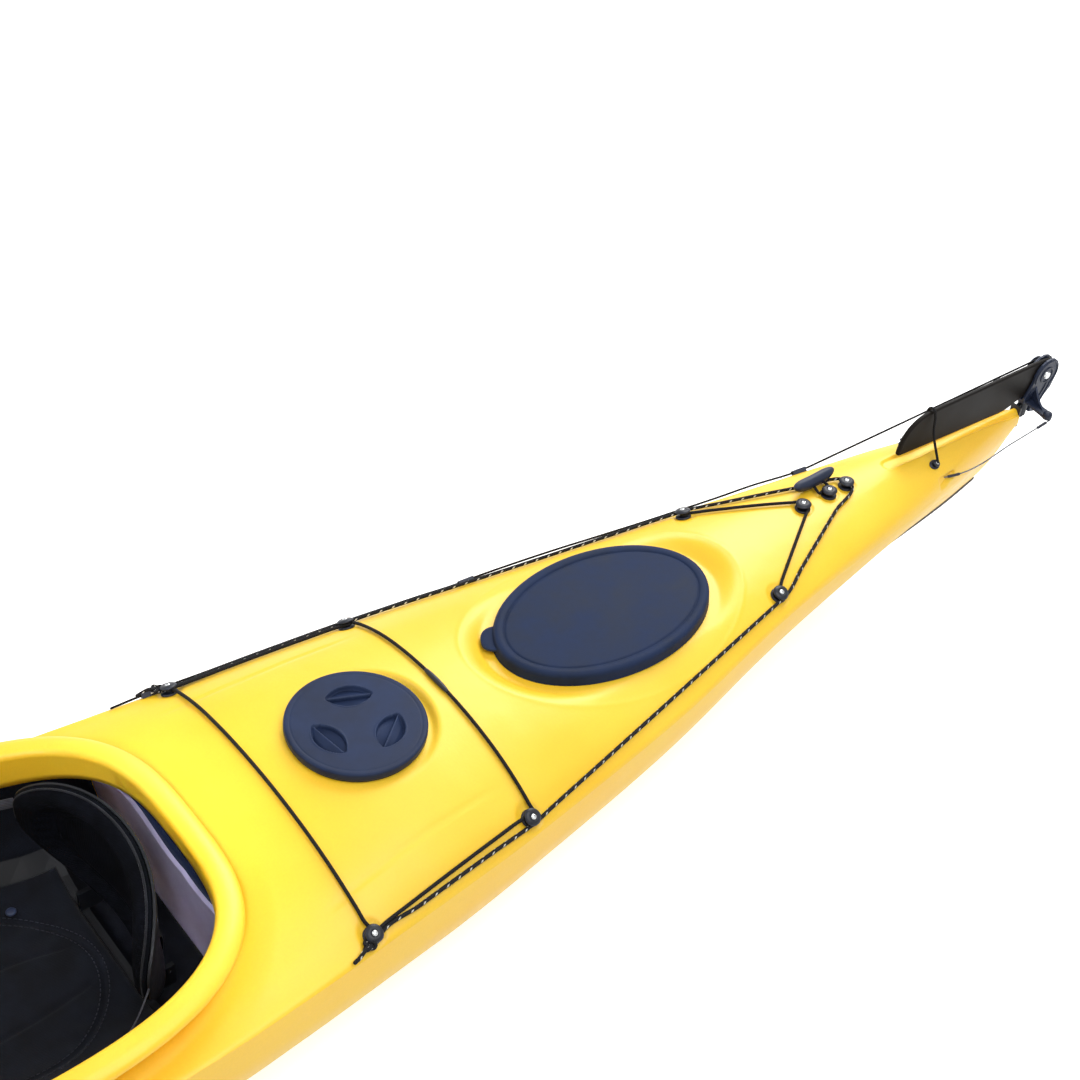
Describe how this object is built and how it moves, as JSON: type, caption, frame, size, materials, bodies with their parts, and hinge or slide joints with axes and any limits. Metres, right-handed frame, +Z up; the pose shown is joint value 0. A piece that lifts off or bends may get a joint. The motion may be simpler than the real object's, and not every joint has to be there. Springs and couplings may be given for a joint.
{
  "type": "sea kayak",
  "caption": "Long narrow touring kayak with a rimmed cockpit, padded seat, sealed deck hatches, deck lines, carry toggles and a folding stern rudder steered by foot pedals.",
  "frame": {"origin": "middle of the boat's length and width, at the lowest line of the keel", "axes": "+X towards the bow, +Y to port, +Z up from the keel to the deck"},
  "size_m": [4.7019, 0.6206, 0.3461],
  "materials": {
    "shell": "semi-gloss yellow polyethylene with a fine mould texture",
    "bulkhead": "matt lilac grey",
    "skid": "worn dark strip",
    "hatch_rubber": "soft blue black rubber",
    "hatch_rim": "black",
    "day_cover": "grained blue black",
    "fitting": "satin black",
    "cord": "braided black",
    "rudder_blade": "satin black with a brown sheen",
    "rudder_plastic": "satin black",
    "steel": "plain stainless",
    "bracket": "black coated",
    "seat_plastic": "black",
    "seat_fabric": "black woven cover",
    "strap": "grey black webbing",
    "rail": "dark anodised",
    "tubing": "black",
    "toggle": "satin black"
  },
  "bodies": {
    "kayak": {"hull_shell": "shell", "deck_stern": "shell", "deck_rear": "shell", "deck_middle": "shell", "deck_fore": "shell", "deck_bow": "shell", "cockpit_coaming": "shell", "bulkhead_bow": "bulkhead", "bulkhead_seat": "bulkhead", "bulkhead_day": "bulkhead", "cable_tube_port": "tubing", "cable_tube_starboard": "tubing", "keel_skid_plate": "skid", "hatch_rim_stern": "hatch_rim", "hatch_rim_bow": "hatch_rim", "day_hatch_rim": "hatch_rim", "deck_fitting_port_front": "fitting", "deck_fitting_port_middle": "fitting", "deck_fitting_port_rear": "fitting", "deck_fitting_centre": "fitting", "deck_fitting_toggle_front": "fitting", "deck_fitting_toggle_rear": "fitting", "deck_fitting_starboard_rear": "fitting", "deck_fitting_starboard_middle": "fitting", "deck_fitting_starboard_front": "fitting", "deck_fitting_bow": "fitting", "line_guide_front": "fitting", "line_guide_middle": "fitting", "line_guide_rear": "fitting", "hold_down_ball": "fitting", "hold_down_hook": "fitting", "perimeter_line": "cord", "bungee_loop": "cord", "rear_bungee": "cord", "haul_line": "cord", "hold_down_bungee": "cord", "rudder_cable_port": "steel", "rudder_cable_starboard": "steel", "stern_bracket": "bracket", "seat_pan": "seat_plastic", "seat_pad": "seat_fabric", "backrest_strap_port": "strap", "backrest_strap_starboard": "strap", "foot_rail_port": "rail", "foot_rail_starboard": "rail"},
    "rudder_head": {"rudder_yoke": "rudder_plastic", "rudder_pivot_bolt": "steel", "rudder_pintle": "steel"},
    "blade": {"rudder_blade": "rudder_blade", "rudder_drum": "rudder_plastic"},
    "foot_pedal_port": {"pedal_port": "seat_plastic"},
    "foot_pedal_starboard": {"pedal_starboard": "seat_plastic"},
    "stern_lid": {"hatch_cover_stern": "hatch_rubber"},
    "bow_lid": {"hatch_cover_bow": "hatch_rubber"},
    "day_lid_ring": {"day_hatch_seal": "hatch_rubber"},
    "day_lid": {"day_hatch_cover": "day_cover"},
    "backrest": {"backrest_shell": "seat_plastic", "backrest_pad": "seat_fabric"},
    "stern_grip": {"stern_toggle": "toggle"},
    "bow_grip": {"bow_toggle": "toggle"}
  },
  "joints": [
    {"name": "rudder_swing", "type": "hinge", "parent": "kayak", "child": "rudder_head", "pos_m": [-2.285, 0, 0.225], "axis": [-0.0577, 0, 0.9983], "range_deg": [-35, 35], "deforming": ["rudder_cable_port", "rudder_cable_starboard", "hold_down_bungee", "haul_line"]},
    {"name": "rudder_flip", "type": "hinge", "parent": "rudder_head", "child": "blade", "pos_m": [-2.31795, 0, 0.27518], "axis": [0, -1, 0], "range_deg": [0, 240]},
    {"name": "pedal_slide_port", "type": "slide", "parent": "kayak", "child": "foot_pedal_port", "axis": [0.9952, -0.098, 0], "range_m": [-0.04, 0.04]},
    {"name": "pedal_slide_starboard", "type": "slide", "parent": "kayak", "child": "foot_pedal_starboard", "axis": [0.9952, 0.098, 0], "range_m": [-0.04, 0.04]},
    {"name": "hatch_stern_lift", "type": "slide", "parent": "kayak", "child": "stern_lid", "axis": [0, 0, 1], "range_m": [0, 0.12]},
    {"name": "hatch_bow_lift", "type": "slide", "parent": "kayak", "child": "bow_lid", "axis": [0, 0, 1], "range_m": [0, 0.12]},
    {"name": "day_hatch_lift", "type": "slide", "parent": "kayak", "child": "day_lid_ring", "axis": [-0.054, 0, 0.9985], "range_m": [0, 0.1]},
    {"name": "day_hatch_twist", "type": "hinge", "parent": "day_lid_ring", "child": "day_lid", "pos_m": [-0.826, 0, 0.264], "axis": [-0.054, 0, 0.9985], "range_deg": [0, 90]},
    {"name": "backrest_tilt", "type": "hinge", "parent": "kayak", "child": "backrest", "pos_m": [-0.462, 0, 0.094], "axis": [0, 1, 0], "range_deg": [-8, 30], "deforming": ["backrest_strap_port", "backrest_strap_starboard"]},
    {"name": "stern_toggle_swing", "type": "hinge", "parent": "kayak", "child": "stern_grip", "pos_m": [-1.777, -0.0095, 0.2487], "axis": [-1, 0, 0], "range_deg": [0, 80]},
    {"name": "bow_toggle_swing", "type": "hinge", "parent": "kayak", "child": "bow_grip", "pos_m": [1.96, 0.0095, 0.3218], "axis": [1, 0, 0], "range_deg": [0, 80]}
  ],
  "couplings": [
    {"joint": "pedal_slide_port", "follows": "rudder_swing", "m_per_rad": -0.06},
    {"joint": "pedal_slide_starboard", "follows": "rudder_swing", "m_per_rad": 0.06}
  ]
}
